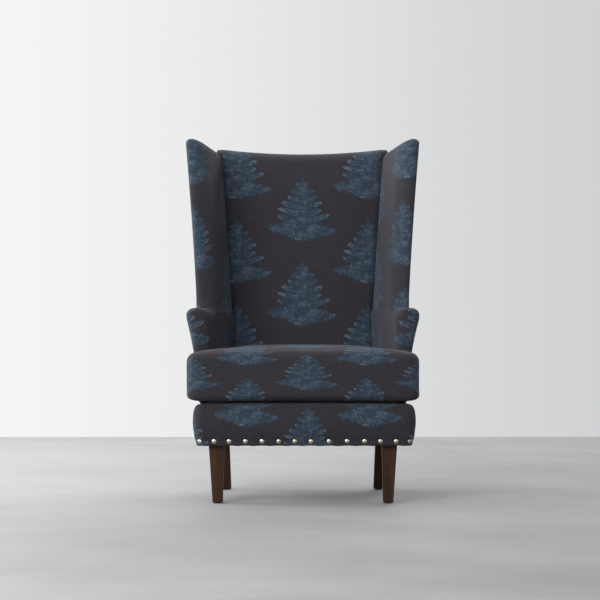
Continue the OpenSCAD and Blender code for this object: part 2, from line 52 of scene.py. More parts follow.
class Field:
    """A shader socket. Arithmetic on it adds Math nodes to its tree."""

    def __init__(self, tree, socket=None):
        self.tree, self.socket = tree, socket

    def node(self, kind, settings=None, inputs=None, out=0):
        """Adds any node: its settings first, then the value or link of each socket named."""
        made = self.tree.nodes.new("ShaderNode" + kind)
        for name, value in (settings or {}).items():
            if name == "stops":
                stops = made.color_ramp.elements
                stops.remove(stops[1])
                for place, colour in value:
                    stop = stops[0] if place == value[0][0] else stops.new(place)
                    stop.position, stop.color = place, (*colour, 1)
            else:
                setattr(made, name, value)
        for name, value in (inputs or {}).items():
            socket = made.inputs[name]
            if isinstance(value, Field):
                self.tree.links.new(value.socket, socket)
            else:
                socket.default_value = value
        return Field(self.tree, made.outputs[out])

    def maths(self, operation, *others):
        return self.node("Math", {"operation": operation}, dict(enumerate([self, *others])))

    def __add__(self, other): return self.maths("ADD", other)
    def __radd__(self, other): return self.maths("ADD", other)
    def __sub__(self, other): return self.maths("SUBTRACT", other)
    def __rsub__(self, other): return (self * -1).maths("ADD", other)
    def __mul__(self, other): return self.maths("MULTIPLY", other)
    def __rmul__(self, other): return self.maths("MULTIPLY", other)
    def __truediv__(self, other): return self.maths("DIVIDE", other)
    def __pow__(self, other): return self.maths("POWER", other)
    def __abs__(self): return self.maths("ABSOLUTE")

    def high(self, other): return self.maths("MAXIMUM", other)
    def floor(self): return self.maths("FLOOR")
    def fraction(self): return self.maths("FRACT")

    def step(self, start, end):
        """0 where the value is at start, 1 where it is at end, smooth between."""
        return self.node("MapRange", {"interpolation_type": "SMOOTHSTEP"},
                         {0: self, 1: start, 2: end, 3: 0.0, 4: 1.0})

    def blend(self, first, second):
        """A colour that goes from first to second as this goes from 0 to 1."""
        return self.node("Mix", {"data_type": "RGBA"}, {0: self, 6: first, 7: second}, out=2)

    def part(self, which):
        """One part of a vector: 0, 1 or 2 for X, Y or Z."""
        return self.node("SeparateXYZ", None, {0: self}, out=which)

    def point(self, y=0.0, z=0.0):
        return self.node("CombineXYZ", None, {0: self, 1: y, 2: z})


def finish_of(name, roughness=0.6, **fixed):
    """A new material and the Field to build it with; fixed are the shader's unchanging values."""
    made = bpy.data.materials.new(name)
    made.use_nodes = True
    shader = made.node_tree.nodes["Principled BSDF"]
    shader.inputs["Roughness"].default_value = roughness
    for key, value in fixed.items():
        shader.inputs[key.replace("_", " ")].default_value = value
    return made, Field(made.node_tree), shader


def connect(field, shader, name):
    field.tree.links.new(field.socket, shader.inputs[name])


def coordinates(start, kind="Object"):
    return start.node("TexCoord", out=["Generated", "Normal", "UV", "Object"].index(kind))


def grain(start, vector, scale, detail=3.0, roughness=0.5, stretch=(1, 1, 1)):
    """Noise from 0 to 1, drawn out along the axes by stretch."""
    laid = start.node("Mapping", None, {0: vector, 3: stretch})
    return start.node("TexNoise", None, {0: laid, "Scale": scale, "Detail": detail,
                                         "Roughness": roughness})


def bumped(start, shader, height, distance, strength=1.0):
    normal = start.node("Bump", None, {"Height": height, "Distance": distance,
                                       "Strength": strength})
    connect(normal, shader, "Normal")


def floor_finish():
    made, start, shader = finish_of("pale_screed", 0.7)
    place = coordinates(start)
    cloudy = grain(start, place, 1.3, 6.0, 0.6)
    fine = grain(start, place, 60.0, 3.0)
    screed_tone_and_painted_falloff = (cloudy * 0.75 + fine * 0.25).step(0.3, 0.7) * 0.16
    # Painted light falloff: the floor colour is made lighter at the left and the back and darker
    # towards the right and the front, on top of its mottled tone.
    screed_tone_and_painted_falloff = screed_tone_and_painted_falloff + place.part(0).step(1.8, -1.8) * 0.50 + place.part(1).step(-3.0, 3.0) * 0.34
    connect(screed_tone_and_painted_falloff.blend((0.060, 0.061, 0.062, 1), (0.400, 0.403, 0.406, 1)), shader, "Base Color")
    return made


floor_half, floor_end = 14, 3.40
floor_mesh = bpy.data.meshes.new("floor")
floor_mesh.from_pydata([(-floor_half, -floor_half, 0), (floor_half, -floor_half, 0),
                        (floor_half, floor_end, 0), (-floor_half, floor_end, 0)],
                       [], [(0, 1, 2, 3)])
floor_mesh.materials.append(floor_finish())
screed_floor = bpy.data.objects.new("floor", floor_mesh)
bpy.context.collection.objects.link(screed_floor)


def area_light(name, place, target, size, power, colour):
    lamp = bpy.data.lights.new(name, "AREA")
    lamp.shape, lamp.size, lamp.size_y = "RECTANGLE", *size
    lamp.energy, lamp.color = power, colour
    made = bpy.data.objects.new(name, lamp)
    made.location = place
    made.rotation_euler = (Vector(target) - Vector(place)).to_track_quat("-Z", "Y").to_euler()
    bpy.context.collection.objects.link(made)


area_light("window", (-4.2, 0.5, 2.3), (0, 0, 0.4), (1.5, 1.5), 150, (1.0, 0.99, 0.97))
area_light("front", (-2.4, -4.6, 2.9), (0, 0.2, 0.7), (3.2, 2.4), 290, (1.0, 0.99, 0.98))
area_light("fill", (2.6, -5.6, 2.4), (0, 0, 0.6), (4.0, 3.0), 45, (0.96, 0.98, 1.0))
area_light("top", (-1.0, 0.9, 4.6), (0, 0.3, 0), (5.0, 3.4), 80, (1, 1, 1))
area_light("rear", (2.0, 4.6, 3.5), (0, 0, 0.7), (3.0, 2.0), 110, (1, 1, 1))

left_white, right_grey = (0.97, 0.975, 0.98, 1), (0.66, 0.665, 0.67, 1)
world = bpy.data.worlds.new("room")
world.use_nodes = True
surround = world.node_tree.nodes["Background"]
towards_right = coordinates(Field(world.node_tree), "Generated").part(0).step(-0.16, 0.16)
connect(towards_right.blend(left_white, right_grey), surround, "Color")
surround.inputs["Strength"].default_value = 0.95
bpy.context.scene.world = world
bpy.context.scene.view_settings.view_transform = "Standard"

eye_height = 0.646
eye_distance = 8.056
eye_turn = math.radians(-0.2)
sensor_width = 36.0
picture_width, focal_length = 600, 2430
lens = bpy.data.cameras.new("camera")
lens.sensor_width = sensor_width
lens.lens = sensor_width * focal_length / picture_width
camera = bpy.data.objects.new("camera", lens)
camera.location = (eye_distance * math.sin(eye_turn), -eye_distance * math.cos(eye_turn),
                   eye_height)
camera.rotation_euler = (math.radians(90), 0, eye_turn)
lens.shift_x = -0.00433
bpy.context.collection.objects.link(camera)
bpy.context.scene.camera = camera

# ---- Hardwood frame: rails, posts, arm rails, plywood wing boards, blocks, screws ----
# Planed beech rails and posts, glued and screwed through corner blocks. It is hidden once the
# chair is covered, but it carries everything. The wing boards are birch ply.


def wood_finish(name, dark, light, run, roughness):
    """Planed wood with its grain along run, one of X, Y and Z."""
    made, start, shader = finish_of(name, roughness)
    thin = {"X": (0.06, 1, 1), "Y": (1, 0.06, 1), "Z": (1, 1, 0.06)}[run]
    place = coordinates(start)
    bands = grain(start, place, 26.0, 4.0, 0.6, thin)
    pores = grain(start, place, 420.0, 2.0, 0.5, thin)
    tone = (bands * 0.8 + pores * 0.25).step(0.25, 0.8)
    connect(tone.blend((*dark, 1), (*light, 1)), shader, "Base Color")
    connect(roughness - 0.06 + pores * 0.14, shader, "Roughness")
    bumped(start, shader, pores * 0.6 + bands * 0.4, 0.0004, 0.6)
    return made


def dress(material, *names):
    for name in names:
        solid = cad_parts[name]
        solid.data.materials.clear()
        solid.data.materials.append(material)


beech_dark, beech_light = (0.42, 0.25, 0.12), (0.62, 0.42, 0.24)
dress(wood_finish("beech_across", beech_dark, beech_light, "X", 0.55),
      "front_seat_rail", "rear_seat_rail", "top_back_rail", "lower_back_rail", "wing_cleats",
      "corner_blocks")
dress(wood_finish("beech_lengthways", beech_dark, beech_light, "Y", 0.55),
      "left_seat_rail", "right_seat_rail", "left_arm_rail", "right_arm_rail")
dress(wood_finish("beech_upright", beech_dark, beech_light, "Z", 0.55),
      "left_arm_post", "right_arm_post", "left_back_post", "right_back_post")
dress(wood_finish("birch_ply", (0.50, 0.34, 0.18), (0.70, 0.53, 0.33), "Z", 0.5),
      "left_wing_board", "right_wing_board")


def metal_finish(name, colour, worn, roughness, tarnish=0.4, speckle=160.0):
    """Metal with patches of tarnish and fine scratches."""
    made, start, shader = finish_of(name, roughness, Metallic=1.0)
    place = coordinates(start)
    patches = grain(start, place, speckle, 5.0, 0.65).step(0.35, 0.68)
    scratches = grain(start, place, speckle * 6, 2.0)
    connect((patches * tarnish).blend((*colour, 1), (*worn, 1)), shader, "Base Color")
    connect(roughness - 0.08 + patches * 0.2 + scratches * 0.08, shader, "Roughness")
    bumped(start, shader, patches * 0.5 + scratches * 0.5, 0.0002, 0.5)
    return made


bright_steel = metal_finish("zinc_steel", (0.62, 0.63, 0.65), (0.36, 0.36, 0.38), 0.36)
spring_steel = metal_finish("spring_steel", (0.32, 0.32, 0.34), (0.12, 0.11, 0.11), 0.42)
dress(bright_steel, "frame_screws", "leg_plates", "leg_bolts", "spring_clips")
dress(spring_steel, "seat_springs")

# ---- Seat suspension and deck: hessian over the springs, a felt pad, platform cloth ----
# Jute hessian is stretched over the zigzag springs, a felted pad lies on it, and a plain
# charcoal platform cloth closes the deck, tucked down inside the borders on all sides.


def along(count, low, high):
    return [low + (high - low) * i / (count - 1) for i in range(count)]


def mix(a, b, k):
    return a + (b - a) * k


def smooth_step(value, start, end):
    k = min(1.0, max(0.0, (value - start) / (end - start)))
    return k * k * (3 - 2 * k)


def lay_cloth(mesh, cloth, motif):
    """Keeps with each point where it lies in its fabric and in the print."""
    for label, values in (("cloth", cloth), ("motif", motif)):
        if values:
            layer = mesh.attributes.new(label, "FLOAT_VECTOR", "POINT")
            layer.data.foreach_set("vector", [c for row in values for c in (*row, 1.0)[:3]])


def add_piece(name, points, faces, material, slot, stands_for=(), body="chair", cloth=None,
              motif=None, smooth=True, weld=1e-5):
    """A mesh piece on a body. cloth is where each point lies in its fabric, in metres, and
    motif where it lies in the print, in columns and rows of it, with how strong the print is."""
    mesh = bpy.data.meshes.new(name)
    mesh.from_pydata([tuple(p) for p in points], [], faces)
    lay_cloth(mesh, cloth, motif)
    shape = bmesh.new()
    shape.from_mesh(mesh)
    bmesh.ops.remove_doubles(shape, verts=shape.verts, dist=weld)
    bmesh.ops.recalc_face_normals(shape, faces=shape.faces)
    shape.to_mesh(mesh)
    shape.free()
    for face in mesh.polygons:
        face.use_smooth = smooth
    made = bpy.data.objects.new(name, mesh)
    bpy.context.collection.objects.link(made)
    mesh.materials.append(material)
    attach(made, body)
    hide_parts(*stands_for)
    return made


def subdivided(made):
    rounder = made.modifiers.new("rounder", "SUBSURF")
    rounder.levels = rounder.render_levels = 1
    rounder.boundary_smooth = "PRESERVE_CORNERS"


def grid_faces(rows, columns, first=0, closed=False):
    """Faces of a grid whose points are listed row by row; closed joins its last column to its
    first."""
    return [(first + r * columns + c, first + r * columns + (c + 1) % columns,
             first + (r + 1) * columns + (c + 1) % columns, first + (r + 1) * columns + c)
            for r in range(rows - 1) for c in range(columns if closed else columns - 1)]


def panel_faces(rows, columns):
    """Faces of a panel whose points are two such grids, face and back, joined round the rim."""
    count = rows * columns
    rim = list(range(columns)) + [r * columns + columns - 1 for r in range(1, rows)]
    rim += [(rows - 1) * columns + c for c in range(columns - 2, -1, -1)]
    rim += [r * columns for r in range(rows - 2, 0, -1)]
    return grid_faces(rows, columns) + grid_faces(rows, columns, count) \
        + [(a, b, count + b, count + a) for a, b in zip(rim, rim[1:] + rim[:1])]


lean_out = math.tan(math.radians(10.55))
lean_in = math.tan(math.radians(12))
close_in = math.tan(math.radians(9))


def back_out_y(z):
    return 0.218 + (z - 0.185) * lean_out


def back_in_y(z):
    return 0.145 + (z - 0.5) * lean_in


def base_x(y):
    return 0.352 - (y + 0.38) * 0.106


def woven_finish(name, dark, light, thread, roughness=0.9, depth=0.0004):
    """Plain-weave cloth whose threads run across and along the piece."""
    made, start, shader = finish_of(name, roughness, Sheen_Weight=0.15, Sheen_Roughness=0.6)
    place = coordinates(start)
    east = grain(start, place, 1 / thread / 3, 2.0, 0.5, (0.12, 1, 1))
    north = grain(start, place, 1 / thread / 3, 2.0, 0.5, (1, 0.12, 0.12))
    knots = grain(start, place, 90.0, 3.0)
    tone = (east * 0.45 + north * 0.45 + knots * 0.2).step(0.3, 0.75)
    connect(tone.blend((*dark, 1), (*light, 1)), shader, "Base Color")
    connect(roughness - 0.05 + knots * 0.1, shader, "Roughness")
    bumped(start, shader, east * 0.5 + north * 0.5, depth)
    return made


jute = woven_finish("jute_hessian", (0.24, 0.15, 0.07), (0.46, 0.32, 0.17), 0.0022)
platform_cloth = woven_finish("platform_cloth", (0.030, 0.029, 0.031), (0.062, 0.060, 0.066),
                              0.0010)


def deck_plate(name, rows, columns, height, y_low, y_high, inset, material, slot, stands_for,
               thick):
    """A sheet or pad that spans the rails: height(k, l) over k across and l lengthways, each
    from -1 to 1."""
    points = []
    for top in (1, 0):
        for l in along(rows, -1, 1):
            y = mix(y_low, y_high, (l + 1) / 2)
            for k in along(columns, -1, 1):
                points.append((k * (base_x(y) - inset), y, height(k, l) - (0 if top else thick)))
    return add_piece(name, points, panel_faces(rows, columns), material, slot, stands_for)


def hessian_height(k, l):
    bars = 0.0006 * math.cos(k * math.pi * 5) * (1 - l ** 4)
    return 0.3025 - 0.0010 * (1 - k * k) * (1 - l * l) + bars


hessian = deck_plate("seat_hessian_cloth", 40, 60, hessian_height, -0.352, 0.178, 0.020, jute,
                     "hessian", ["seat_hessian"], 0.0010)


def deck_height(k, l):
    edge = (1 - abs(k) ** 12) * (1 - abs(l) ** 10)
    return 0.3065 + 0.0155 * max(0.0, edge) ** 0.5 + 0.002 * (1 - k * k) * (1 - l * l)


deck = deck_plate("seat_deck", 44, 60, deck_height, -0.362, 0.168, 0.016, platform_cloth,
                  "deck_cloth", ["seat_deck_pad", "seat_deck_cover"], 0.003)
subdivided(deck)

# ---- The cover fabric: slubby linen-look weave printed with rows of fir trees ----
# A plum-charcoal ground with blue fir trees in a half-drop repeat, woven from uneven yarns that
# show as short darker and lighter streaks both ways. Every outer panel is cut from it.
yarn = 0.0013
tier_height = 0.088


def fir_tree(u, w, brush, strokes, patches):
    """One fir in its cell: u is across from the trunk and w down from the tip, in repeats.
    Returns where it is, and how pale it is there."""
    a = abs(u)
    right = u.step(-0.004, 0.004)
    rise = (w + a * 0.23 + (strokes - 0.5) * 0.030) / tier_height
    tier = rise.floor()
    off_branch = abs(rise.fraction() - 0.5) * 2
    root = (tier + 0.5) * tier_height
    spread = root.node("ValToRGB", {"stops": [
        (place, (width,) * 3) for place, width in (
            (0.0, 0.006), (0.07, 0.055), (0.15, 0.135), (0.22, 0.190), (0.32, 0.285),
            (0.42, 0.335), (0.52, 0.375), (0.60, 0.380), (0.64, 0.0))]}, {0: root})
    chance = u.node("TexWhiteNoise", {"noise_dimensions": "2D"},
                    {"Vector": tier.point(right * 3.7 + 1.3)})
    reach = spread * (0.82 + chance * 0.32)
    out = a / reach.high(0.001)
    branch = (1.75 - (out ** 2.4) * 1.75 + (brush - 0.5) * 1.1 + (strokes - 0.5) * 0.8
              - off_branch).step(-0.10, 0.30)
    branch = branch * out.step(1.10, 0.96) * w.step(0.010, 0.05)
    middle = 0.668 - a * (0.10 - right * 0.092) + (patches - 0.5) * 0.07
    skirt = (0.106 - a * a * 0.345 + (brush - 0.5) * 0.095 + (strokes - 0.5) * 0.075
             - abs(w - middle)).step(-0.014, 0.016)
    trunk = (0.012 - a + (brush - 0.5) * 0.01).step(-0.006, 0.006) \
        * w.step(0.0, 0.02) * w.step(0.81, 0.79)
    body = branch.high(skirt).high(trunk * 0.8)
    body = body * (strokes * 0.8 + brush * 0.6).step(0.36, 0.62).high(0.45)
    tips = out.step(0.72, 1.0) * skirt.step(0.6, 0.2)
    gaps = off_branch.step(0.62, 1.0) * out.step(0.15, 0.7) * skirt.step(0.9, 0.1)
    pale = strokes * 0.75 + brush * 0.40 + patches * 0.55 + tips * 0.22 - gaps * 0.28
    return body, pale


def print_finish(name):
    made, start, shader = finish_of(name, 0.90, Sheen_Weight=0.10, Sheen_Roughness=0.5,
                                    Specular_IOR_Level=0.22)
    shader.inputs["Sheen Tint"].default_value = (0.62, 0.66, 0.80, 1)
    cloth = start.node("Attribute", {"attribute_name": "cloth"}, out=1)
    motif = start.node("Attribute", {"attribute_name": "motif"}, out=1)
    warp = grain(start, cloth, 1.0, 3.0, 0.6, (1 / yarn / 1.6, 26.0, 1))
    weft = grain(start, cloth, 1.0, 3.0, 0.6, (26.0, 1 / yarn / 1.6, 1))
    slub = grain(start, cloth, 1.0, 2.0, 0.5, (14.0, 300.0, 1))
    cloudy = grain(start, cloth, 7.0, 3.0)
    column, row = motif.part(0), motif.part(1)
    found, paleness = None, None
    ragged = grain(start, cloth, 1.0, 2.0, 0.5, (170.0, 170.0, 1))
    for shift in (0.0, 1.0):
        u = ((column + shift) / 2 + 0.5).fraction() * 2 - 1 + (ragged - 0.5) * 0.024
        w = (row + shift / 2).fraction() + (ragged - 0.5) * 0.012
        brush = grain(start, u.point(w), 1.0, 3.0, 0.7, (58.0, 18.0, 1))
        strokes = grain(start, u.point(w + abs(u) * 0.5), 1.0, 3.0, 0.65, (17.0, 40.0, 1))
        patches = grain(start, u.point(w), 1.0, 2.0, 0.5, (5.0, 9.0, 1))
        body, pale = fir_tree(u, w, brush, strokes, patches)
        found = body if found is None else found.high(body)
        paleness = pale * body if paleness is None else paleness.high(pale * body)
    threads = warp * 0.5 + weft * 0.5
    ink = found * motif.part(2) * (0.72 + threads.step(0.34, 0.60) * 0.28)
    ground = (warp * 0.45 + weft * 0.30 + slub * 0.25).step(0.30, 0.72) \
        .blend((0.0112, 0.0100, 0.0125, 1), (0.0278, 0.0250, 0.0308, 1))
    ground = (cloudy.step(0.35, 0.7) * 0.35).blend(ground, (0.0200, 0.0178, 0.0228, 1))
    leaf = (paleness * 0.80 + threads * 0.40).step(0.78, 1.30) \
        .blend((0.0120, 0.0270, 0.0440, 1), (0.130, 0.152, 0.200, 1))
    connect(ink.blend(ground, leaf), shader, "Base Color")
    connect(0.84 + threads * 0.14, shader, "Roughness")
    ribs, picks = cloth.part(0) * (math.tau / yarn), cloth.part(1) * (math.tau / yarn)
    crossing = ribs.maths("SINE") * picks.maths("SINE")
    bumped(start, shader, crossing * 0.35 + warp * 0.5 + weft * 0.5, 0.0006, 0.8)
    return made


fir_print = print_finish("fir_print_linen")
column_width = 0.2235
row_height = 0.288


def repeats(u, v, u_middle, v_tip, width=column_width, height=row_height):
    """Where a point of the cloth lies in the print, with a tree's tip at (u_middle, v_tip)."""
    return (u - u_middle) / width, (v_tip - v) / height


# ---- Padded borders round the seat rails ----
# Wadding and fabric are pulled over the rails and held at the foot by a row of dome nails, each
# of which dimples the cloth. The front border wraps both corners; the sides have their own.
edge_y = -0.380
edge_r = 0.030
edge_tilt = math.atan(0.106)
corner_y = edge_y + edge_r
corner_x = base_x(corner_y) - edge_r / math.cos(edge_tilt)
corner_length = edge_r * (math.pi / 2 - edge_tilt)
nail_pitch = 0.0525
nail_z = 0.199
side_nail = 7
border_middle = 0.2480
rail_print = (0.0124, 0.3165, 0.196, 0.254)


def base_edge(s, inset):
    """The point at distance s round the base from the middle of its front, and its outward
    direction."""
    side, s = (1, s) if s >= 0 else (-1, -s)
    if s < corner_x:
        x, y, nx, ny = s, edge_y, 0.0, -1.0
    elif s < corner_x + corner_length:
        a = (s - corner_x) / edge_r
        nx, ny = math.sin(a), -math.cos(a)
        x, y = corner_x + edge_r * nx, corner_y + edge_r * ny
    else:
        d = s - corner_x - corner_length
        nx, ny = math.cos(edge_tilt), math.sin(edge_tilt)
        x, y = corner_x + edge_r * nx - d * ny, corner_y + edge_r * ny + d * nx
    return side * (x - nx * inset), y - ny * inset, side * nx, ny


def settled(x, y, z):
    """The padding of the base has settled a little towards the right at the front, less so by
    the nails, and its right corner is pulled out squarer than its left."""
    by_nails = mix(0.0015, 0.0075, smooth_step(x, 0.270, 0.335))
    shift = mix(by_nails, 0.004, smooth_step(z, 0.203, 0.235))
    return x + shift * (1 - smooth_step(y, -0.34, -0.05))


def nail_places():
    """Distances round the base of all the nails, evenly spaced at the depth of the heads."""
    inner = edge_r - 0.011
    arc = inner * (math.pi / 2 - edge_tilt)
    places = []
    for i in range(17):
        s = (i + 0.5) * nail_pitch
        if s > corner_x + arc:
            s = s - arc + corner_length
        elif s > corner_x:
            s = corner_x + (s - corner_x) * edge_r / inner
        places.append(s)
    return places


nail_s = nail_places()
front_s = [-0.3364, -0.2830, -0.2355, -0.1840, -0.1312, -0.0784, -0.0272,
           0.0241, 0.0811, 0.1379, 0.1933, 0.2436, 0.2918, 0.3400]
border_profile = [
    (0.1900, 0.040), (0.1862, 0.030), (0.1850, 0.020), (0.1850, 0.0150), (0.1866, 0.0116),
    (0.1905, 0.0096), (0.1950, 0.0088), (0.1990, 0.0085), (0.2030, 0.0076), (0.2075, 0.0056),
    (0.2125, 0.0034), (0.2190, 0.0011), (0.2270, -0.0012), (0.2370, -0.0032),
    (0.2480, -0.0045), (0.2600, -0.0050), (0.2720, -0.0047), (0.2830, -0.0038),
    (0.2930, -0.0024), (0.3010, -0.0004), (0.3070, 0.0022), (0.3118, 0.0060),
    (0.3150, 0.0112), (0.3170, 0.0200), (0.3175, 0.0300), (0.3165, 0.0400), (0.3080, 0.0440)]


def border(name, s_low, s_high, replaced, seed):
    count = int((s_high - s_low) / 0.0034)
    points, cloth, motif = [], [], []
    nails = front_s + [n * side for n in nail_s[side_nail:] for side in (1, -1)]
    runs = [0.0]
    for (z0, i0), (z1, i1) in zip(border_profile, border_profile[1:]):
        runs.append(runs[-1] + math.hypot(z1 - z0, i1 - i0))
    middle = runs[[z for z, i in border_profile].index(border_middle)]
    for s in along(count, s_low, s_high):
        near = min(abs(s - n) for n in nails)
        for (z, inset), run in zip(border_profile, runs):
            dent = 0.0030 * math.exp(-((near / 0.0105) ** 2) - ((z - nail_z) / 0.011) ** 2)
            swell = 0.0016 * smooth_step(near, 0.008, 0.026) \
                * math.exp(-((z - 0.207) / 0.011) ** 2)
            fold = 0.0009 * noise.noise(Vector((s * 34, z * 16, seed)))
            fold += 0.0010 * noise.noise(Vector((s * 9, z * 9, seed + 5)))
            x, y = base_edge(s, inset + dent - swell + fold)[:2]
            lift = 0.0010 * math.cos(math.tau * near / nail_pitch) - 0.0006 if z < 0.192 else 0.0
            points.append((settled(x, y, z), min(y, back_out_y(z) - 0.003), z + lift))
            cloth.append((s, run - middle + border_middle))
            motif.append(repeats(*cloth[-1], *rail_print))
    rows = len(border_profile)
    faces = grid_faces(count, rows)
    faces += [(r * rows, r * rows + rows - 1, (r + 1) * rows + rows - 1, (r + 1) * rows)
              for r in range(count - 1)]
    ends = [list(range(rows)), list(range((count - 1) * rows, count * rows))]
    for end in ends:
        faces += [(end[i], end[i + 1], end[-2 - i], end[-1 - i]) for i in range(rows // 2 - 1)]
    made = add_piece(name, points, faces, fir_print, "printed_fabric", replaced, cloth=cloth,
                     motif=motif)
    subdivided(made)


def edge_at(y):
    """Distance round the base at which its side reaches y."""
    return corner_x + corner_length + (y - corner_y - edge_r * -math.sin(edge_tilt)) \
        / math.cos(edge_tilt)


seam_s = edge_at(-0.3383)
border("front_border", -seam_s, seam_s, ["front_rail_cover", "front_rail_pad"], 1.0)
rear_s = edge_at(0.2390)
seam_gap = 0.0006
border("left_border", -rear_s, -seam_s - seam_gap, ["left_rail_pad"], 2.0)
border("right_border", seam_s + seam_gap, rear_s, ["right_rail_pad"], 3.0)

# ---- Dome nails ----
# Pressed steel domes with an antiqued pewter finish, driven through the foot of the border.
pewter = metal_finish("antique_pewter", (0.52, 0.48, 0.40), (0.16, 0.13, 0.10), 0.30, 0.8, 260.0)


def nail_heads(name, places, replaced):
    points, faces = [], []
    radius, rise, rings, ways = 0.0090, 0.0053, 7, 20
    sunk = 0.0128
    for s in places:
        x, y, nx, ny = base_edge(s, sunk)
        wobble = Vector((0, 0, 0.0010 * noise.noise(Vector((s * 70, 3.1, 0)))))
        centre = Vector((settled(x, y, nail_z), y, nail_z)) + wobble
        out, across, up = Vector((nx, ny, 0)), Vector((-ny, nx, 0)), Vector((0, 0, 1))
        first = len(points)
        profile = [(radius * 0.90, -0.0012), (radius * 0.985, -0.0010), (radius, -0.0002),
                   (radius * 0.985, 0.0006)]
        profile += [(radius * 0.97 * math.cos(a), 0.0008 + (rise - 0.0008) * math.sin(a) ** 0.9)
                    for a in along(rings, 0.12, math.pi / 2 - 0.10)]
        for r, h in profile:
            for t in range(ways):
                a = math.tau * t / ways
                points.append(centre + out * h + across * (r * math.cos(a))
                              + up * (r * math.sin(a)))
        faces += grid_faces(len(profile), ways, first, closed=True)
        faces.append(tuple(first + t for t in reversed(range(ways))))
        last = first + (len(profile) - 1) * ways
        points.append(centre + out * (rise + 0.00005))
        tip = len(points) - 1
        faces += [(last + t, last + (t + 1) % ways, tip) for t in range(ways)]
    add_piece(name, points, faces, pewter, "nail_heads", replaced)


nail_heads("front_nail_heads", front_s, ["front_nails"])
nail_heads("left_nail_heads", [-n for n in nail_s[side_nail:]], ["left_nails"])
nail_heads("right_nail_heads", nail_s[side_nail:], ["right_nails"])

# ---- Padded arms and wings ----
# Each arm is a flat-topped padded slab that flares outward as it rises; the wing above it is a
# thinner slab with a rounded front edge, which sweeps back as it rises. Inside and front are one
# piece of fabric pulled round the edge; a separate outside panel is blind-stitched at the rear.


def arm_in_x(y, z=0.5):
    return 0.3015 - (y + 0.26) * close_in - 0.0032 * (1 - smooth_step(z, 0.33, 0.36))


def arm_out_x(y, z):
    foot = base_x(y) + 0.001
    roll = 0.3785 - (y + 0.26) * 0.14
    k = (z - 0.325) / (0.598 - 0.325)
    tuck = 0.008 * (1 - smooth_step(z, 0.312, 0.326))
    return mix(foot, roll, k) - 0.0100 * math.sin(math.pi * min(1.0, max(0.0, k))) - tuck


def wing_in_x(y, z):
    if z < 0.612:
        return arm_in_x(y, z) + (0.612 - z) * 0.06
    return 0.290 - (y + 0.145) * close_in + (z - 0.612) * 0.107


def wing_out_x(y, z):
    flare = 0.009 * max(0.0, (z - 0.62) / 0.54) ** 2
    return 0.346 - (y + 0.145) * 0.12 + (z - 0.612) * 0.0958 + flare


def edge_curve(depth, radius, power):
    """How full a slab is at a depth behind its rounded edge, from 0 to 1."""
    if depth >= radius:
        return 1.0
    return (1 - (1 - max(0.0, depth) / radius) ** power) ** (1 / power)


def round_samples(radius, length, near, far):
    """Depths from 0 to length, close together round the edge and even behind it."""
    first = [radius * (1 - math.cos(a)) for a in along(near, 0, math.pi / 2)]
    return first + along(far, radius, length)[1:]


def slab_grid(front, rear, z_low, z_front, z_rear, edge, top, corner, fore, tall):
    """Points (y, z, depth behind the front edge, depth below the top) of a slab, as rows going
    up. edge and top are (radius, power) of its roundings; corner rounds its outline."""
    rows = []
    length = 1.0
    for below in reversed(round_samples(top[0], z_front - z_low, 9, tall)):
        b = 1 - below / (z_front - z_low)
        z_f, z_r = z_low + b * (z_front - z_low), z_low + b * (z_rear - z_low)
        y_f, y_r = front(z_f), rear(z_r)
        length = y_r - y_f
        row = []
        for depth in round_samples(edge[0], length, 9, fore):
            a = depth / length
            y, z = mix(y_f, y_r, a), mix(z_f, z_r, a)
            if depth < corner and below < corner:
                k, m = 1 - depth / corner, 1 - below / corner
                y += corner * (k - k * math.sqrt(1 - m * m / 2))
                z -= corner * (m - m * math.sqrt(1 - k * k / 2))
            row.append((y, z, depth, below))
        rows.append(row)
    return rows


column_gap = 0.118


